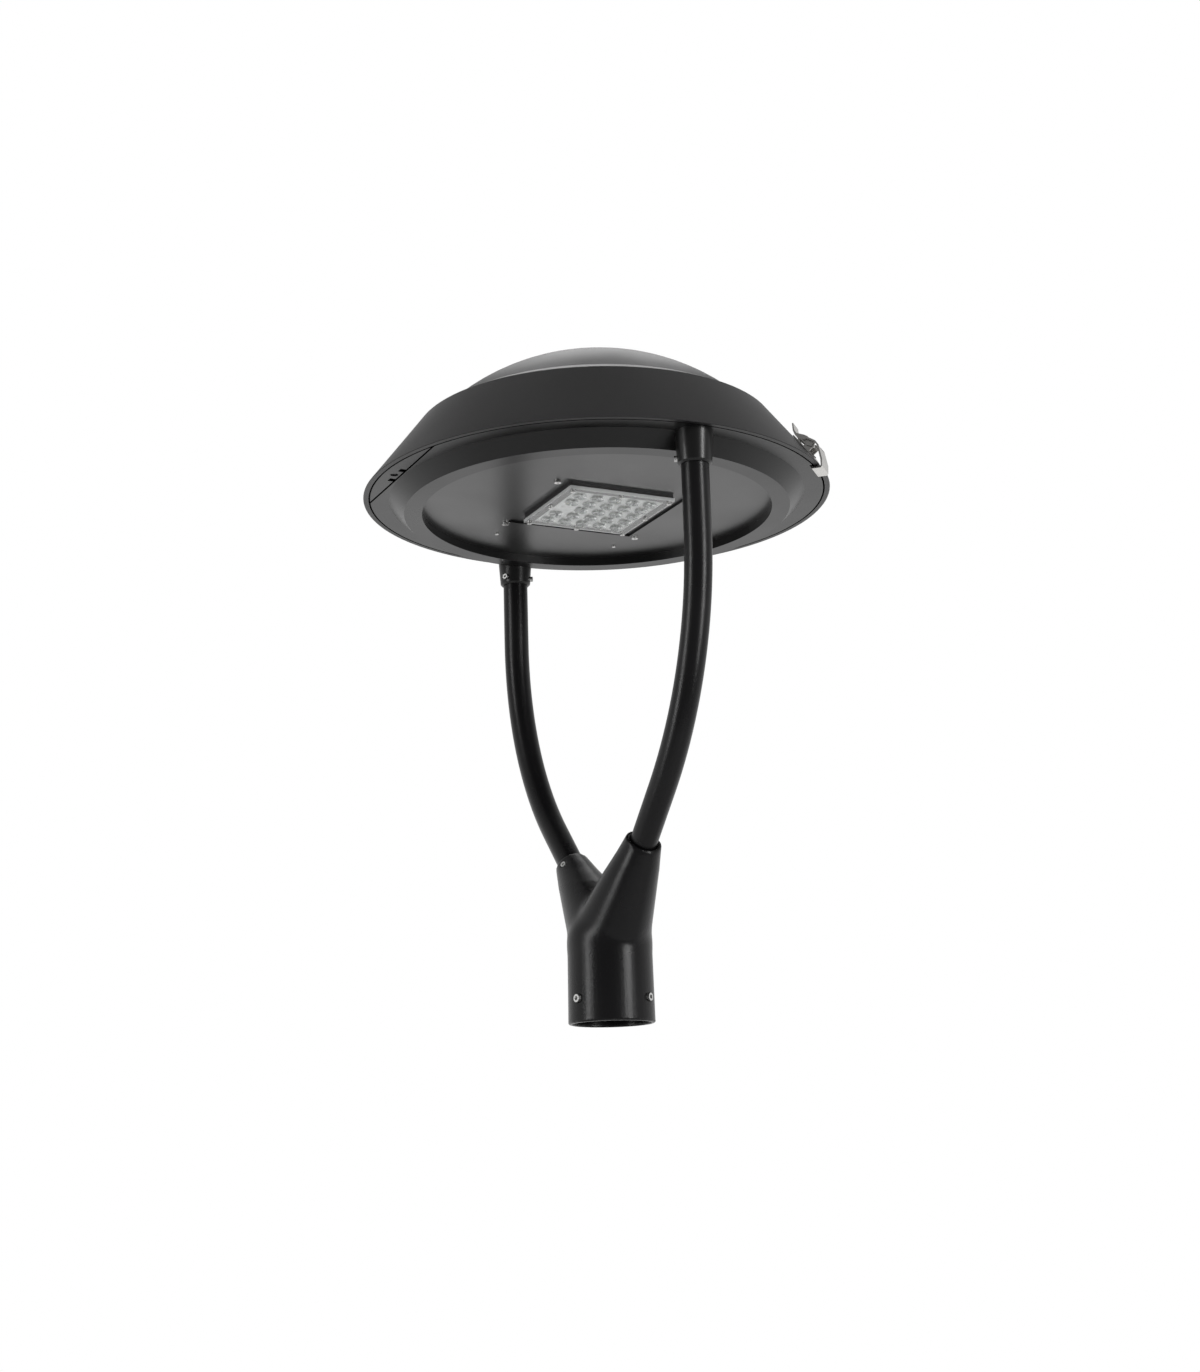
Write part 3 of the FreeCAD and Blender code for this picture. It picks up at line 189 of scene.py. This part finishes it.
guard_plastic = plain("guard_plastic", (0.02, 0.02, 0.022), (0.03, 0.03, 0.032), 0.4)


def lens_material():
    mat, tree, shader = material("lens_clear")
    cloud = noise(tree, 60, 2)
    mottle(tree, shader, cloud.outputs["Fac"], (0.93, 0.95, 0.94), (0.97, 0.98, 0.98), 0.03, 0.08)
    # Painted sheen: the moulding's steep side faces are made milky by how they face, standing in for the
    # bright reflection on its flanks beside its clear faces
    surface = tree.nodes.new("ShaderNodeNewGeometry")
    split = tree.nodes.new("ShaderNodeSeparateXYZ")
    tree.links.new(surface.outputs["True Normal"], split.inputs[0])
    level = combine(tree, "ABSOLUTE", split.outputs["Z"])
    # Steep faces get less transmission, which paints the sheen on the lens flanks
    clear = remap(tree, level, 0.45, 0.9, 0.1, 0.84)
    tree.links.new(clear.outputs["Result"], shader.inputs["Transmission Weight"])
    shader.inputs["IOR"].default_value = 1.49
    wave = noise(tree, 300, 2)
    bumps(tree, shader, [(wave.outputs["Fac"], 0.05, 0.0002)])
    return mat


lens_clear = lens_material()
finish = {
    "hood_shell": hood_coat, "tray_ring": tray_coat, "hinge_segment": tray_coat, "base_plate": plate_coat,
    "arm_tube_near": arm_coat, "arm_tube_far": arm_coat, "post_collar": arm_coat,
    "segment_nuts": steel, "latch_rivets": steel, "hinge_pin": steel, "collar_set_screws": steel,
    "branch_grub_screws": steel, "socket_set_screws": steel, "ring_screws": steel, "lens_screws": steel,
    "module_screws": steel, "driver_screws": steel, "stud_nuts": steel, "earth_nut": brass,
    # The gaskets' black is partly painted shade: it stands in for the dark gaps at the plate's opening
    # and beside the lens plate
    "cable_grommets": rubber_and_gap_shade, "module_gasket": rubber_and_gap_shade, "lens_gasket": rubber_and_gap_shade,
    "heat_sink": plate_coat, "lens_plate": lens_clear,
    "led_board": board_white, "led_chips": chip_yellow, "driver": case_metal,
    "terminal_block": block_plastic, "surge_protector": guard_plastic,
    "latch_base": latch_steel, "latch_lever": latch_steel, "latch_pin": latch_steel,
    "latch_hook": latch_steel,
}
for name, mat in finish.items():
    item = nodes[name]
    item.data.materials.clear()
    item.data.materials.append(mat)
    for face in item.data.polygons:
        face.use_smooth = True
    crisp = item.modifiers.new("edge_split", "EDGE_SPLIT")
    crisp.split_angle = math.radians(CRISP_ANGLE)


# The casting's branches flow into its collar, so a fine skin of it is evened out at the fork
def blended_casting(source):
    item = bpy.data.objects.new("fork_casting", source.data.copy())
    bpy.context.scene.collection.objects.link(item)
    skin = item.modifiers.new("skin", "REMESH")
    skin.mode = "VOXEL"
    skin.voxel_size = SKIN
    bpy.context.view_layer.update()
    fine = bpy.data.meshes.new_from_object(item.evaluated_get(bpy.context.evaluated_depsgraph_get()))
    item.modifiers.clear()
    item.data = fine
    zone = item.vertex_groups.new(name="fork")
    for vertex in fine.vertices:
        height = vertex.co.z
        share = min((height - FORK_LOW) / FORK_RISE, (FORK_HIGH - height) / FORK_FALL, 1.0)
        if share > 0:
            zone.add([vertex.index], share, "REPLACE")
    even = item.modifiers.new("even", "SMOOTH")
    even.factor = 0.5
    even.iterations = FORK_ROUNDS
    even.vertex_group = "fork"
    grow = item.modifiers.new("grow", "DISPLACE")
    grow.strength = FORK_GROWTH
    grow.mid_level = 0.0
    grow.vertex_group = "fork"
    for face in fine.polygons:
        face.use_smooth = True
    fine.materials.clear()
    fine.materials.append(arm_coat)
    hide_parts("post_collar")
    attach(item, "base")


blended_casting(nodes["post_collar"])


def out_of_camera_frame(v):
    """From axes that face the camera to the lamp's own axes."""
    return Matrix.Rotation(TURN, 3, "Z") @ Vector(v)


# Camera, placed and turned as the photograph was taken
ahead = Vector((math.sin(PAN) * math.cos(PITCH), math.cos(PAN) * math.cos(PITCH), math.sin(PITCH)))
level_right = Vector((math.cos(PAN), -math.sin(PAN), 0))
level_up = level_right.cross(ahead)
right = level_right * math.cos(ROLL) + level_up * math.sin(ROLL)
up = level_up * math.cos(ROLL) - level_right * math.sin(ROLL)
camera = bpy.data.cameras.new("camera")
camera.lens = CAMERA_LENS
camera.sensor_width = 36.0
camera.clip_end = 60
view = bpy.data.objects.new("camera", camera)
bpy.context.scene.collection.objects.link(view)
axes = [out_of_camera_frame(right), out_of_camera_frame(up), -out_of_camera_frame(ahead)]
spot = out_of_camera_frame((0, -CAMERA_BACK, 0)) + Vector((0, 0, RIM - CAMERA_BELOW))
view.matrix_world = Matrix((
    (axes[0].x, axes[1].x, axes[2].x, spot.x),
    (axes[0].y, axes[1].y, axes[2].y, spot.y),
    (axes[0].z, axes[1].z, axes[2].z, spot.z),
    (0, 0, 0, 1)))
bpy.context.scene.camera = view


def lens_lobes():
    """Raised twin lobes on each lens, as on moulded street optics."""
    low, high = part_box("led_chips")
    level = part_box("lens_plate")[0][2] + LOBE_LEVEL
    centre_x, centre_y = (low[0] + high[0]) / 2, (low[1] + high[1]) / 2
    mesh = bpy.data.meshes.new("lens_lobes")
    shape = bmesh.new()
    for ix in LENSES_OUT:
        for iy in LENSES_OUT:
            if (ix, iy) == NO_LENS:
                continue
            for shift in (-LOBE_SHIFT, LOBE_SHIFT):
                ball = bmesh.ops.create_uvsphere(shape, u_segments=24, v_segments=12, radius=1.0)
                spot = Vector((centre_x + ix * LENS_PITCH + shift, centre_y + iy * LENS_PITCH, level))
                bmesh.ops.scale(shape, verts=ball["verts"], vec=LOBE_HALF_SIZES)
                bmesh.ops.translate(shape, verts=ball["verts"], vec=spot)
    for face in shape.faces:
        face.smooth = True
    shape.to_mesh(mesh)
    shape.free()
    lobes = bpy.data.objects.new("lens_lobes", mesh)
    bpy.context.scene.collection.objects.link(lobes)
    mesh.materials.append(lens_clear)
    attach(lobes, "base")


lens_lobes()


# Floor well below the hanging lamp, and a white surround
def pale_floor():
    mesh = bpy.data.meshes.new("floor")
    shape = bmesh.new()
    bmesh.ops.create_circle(shape, cap_ends=True, segments=96, radius=FLOOR_RADIUS)
    shape.to_mesh(mesh)
    shape.free()
    floor = bpy.data.objects.new("floor", mesh)
    floor.location = (0, 0, FLOOR_LEVEL)
    bpy.context.scene.collection.objects.link(floor)
    mat, tree, shader = material("floor")
    grain = noise(tree, 6, 2)
    tint = ramp(tree, grain.outputs["Fac"], (0.76, 0.76, 0.76), (0.8, 0.8, 0.8))
    tree.links.new(tint.outputs["Color"], shader.inputs["Base Color"])
    shader.inputs["Roughness"].default_value = 0.85
    mesh.materials.append(mat)


pale_floor()


def white_surround():
    world = bpy.data.worlds.new("world")
    bpy.context.scene.world = world
    world.use_nodes = True
    tree = world.node_tree
    tree.nodes.clear()
    out = tree.nodes.new("ShaderNodeOutputWorld")
    mix = tree.nodes.new("ShaderNodeMixShader")
    soft = tree.nodes.new("ShaderNodeBackground")
    soft.inputs["Color"].default_value = (1, 1, 1, 1)
    soft.inputs["Strength"].default_value = SOFT_LIGHT
    white = tree.nodes.new("ShaderNodeBackground")
    white.inputs["Color"].default_value = (1, 1, 1, 1)
    # The studio is darker on the photographer's side and overhead, which shows only in reflections
    sky = tree.nodes.new("ShaderNodeTexCoord")
    facing = tree.nodes.new("ShaderNodeVectorMath")
    facing.operation = "DOT_PRODUCT"
    facing.inputs[1].default_value = out_of_camera_frame((0, 1, 0))
    tree.links.new(sky.outputs["Generated"], facing.inputs[0])
    away = remap(tree, facing.outputs["Value"], 0.3, 1.0, -0.5, 0.1)
    height = tree.nodes.new("ShaderNodeSeparateXYZ")
    tree.links.new(sky.outputs["Generated"], height.inputs[0])
    sweep = remap(tree, height.outputs["Z"], 1.0, 0.3, -0.1, 0.95)
    studio = combine(tree, "MULTIPLY", away.outputs["Result"], sweep.outputs["Result"])
    path = tree.nodes.new("ShaderNodeLightPath")
    seen = path.outputs["Is Camera Ray"]
    tree.links.new(combine(tree, "MAXIMUM", seen, studio), white.inputs["Strength"])
    some = combine(tree, "MAXIMUM", seen, path.outputs["Is Glossy Ray"])
    more = combine(tree, "MAXIMUM", some, path.outputs["Is Transmission Ray"])
    tree.links.new(more, mix.inputs[0])
    tree.links.new(soft.outputs[0], mix.inputs[1])
    tree.links.new(white.outputs[0], mix.inputs[2])
    tree.links.new(mix.outputs[0], out.inputs[0])


white_surround()


def lamp(name, place, aim, size, power):
    """Soft box; place and aim are in axes that face the camera, from the middle of the rim."""
    data = bpy.data.lights.new(name, "AREA")
    data.shape = "RECTANGLE"
    data.size, data.size_y = size
    data.energy = power
    item = bpy.data.objects.new(name, data)
    bpy.context.scene.collection.objects.link(item)
    item.location = out_of_camera_frame(place) + Vector((0, 0, RIM))
    direction = out_of_camera_frame(Vector(aim) - Vector(place))
    item.rotation_euler = direction.to_track_quat("-Z", "Y").to_euler()


lamp("key_above", (0.0, 1.5, 2.0), (0, 0, 0), (1.2, 1.2), 9)
lamp("side_left", (-2.1, -1.1, -0.1), (0, 0, -0.2), (0.4, 2.2), 36)
lamp("side_right", (1.8, -1.6, 0.0), (0, 0, -0.2), (0.4, 2.2), 54)

bpy.context.scene.view_settings.view_transform = "Standard"
